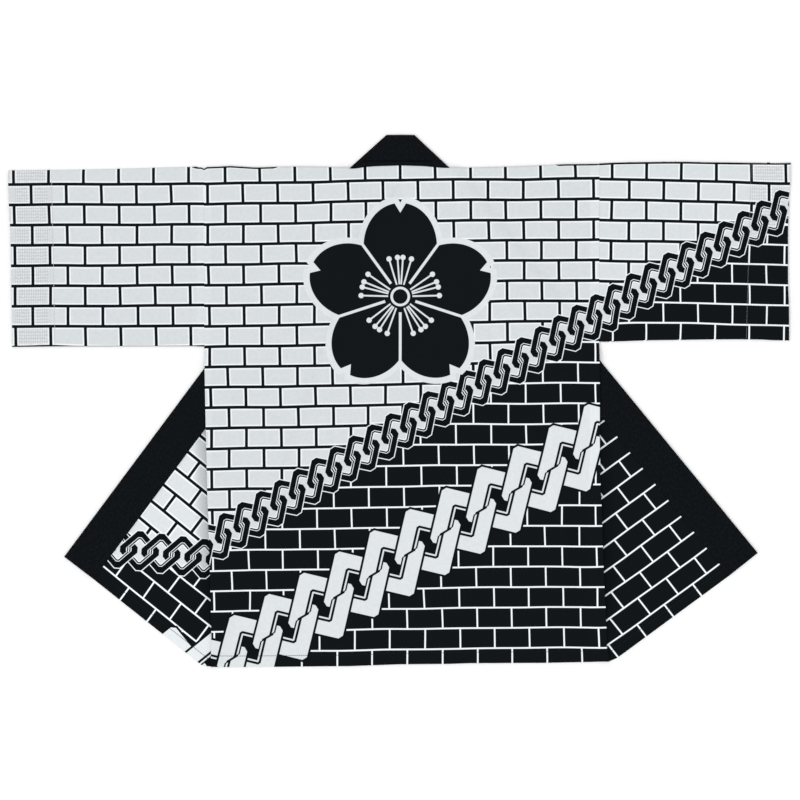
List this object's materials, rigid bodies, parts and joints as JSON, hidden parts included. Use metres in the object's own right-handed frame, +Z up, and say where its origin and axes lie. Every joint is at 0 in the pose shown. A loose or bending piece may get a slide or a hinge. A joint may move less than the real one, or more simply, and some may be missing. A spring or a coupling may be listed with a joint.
{
  "type": "happi coat",
  "caption": "Short straight festival coat laid flat with its back up: open-ended straight sleeves, band collar, and both fronts folded out past the sides",
  "frame": {"origin": "centre of the coat's underside, on the surface that it lies on", "axes": "+X along the right sleeve as seen from above, +Y from the hem to the neck, +Z up from the surface, out of the coat's back"},
  "size_m": [1.2762, 0.8685, 0.0058],
  "materials": {
    "printed_cotton": "matt plain-weave cotton, printed in black on white",
    "collar_cotton": "matt plain-weave cotton, dyed black"
  },
  "bodies": {
    "root": {"back": "printed_cotton", "front_left": "printed_cotton", "front_right": "printed_cotton", "sleeve_left": "printed_cotton", "sleeve_right": "printed_cotton", "collar": "collar_cotton"}
  },
  "joints": []
}
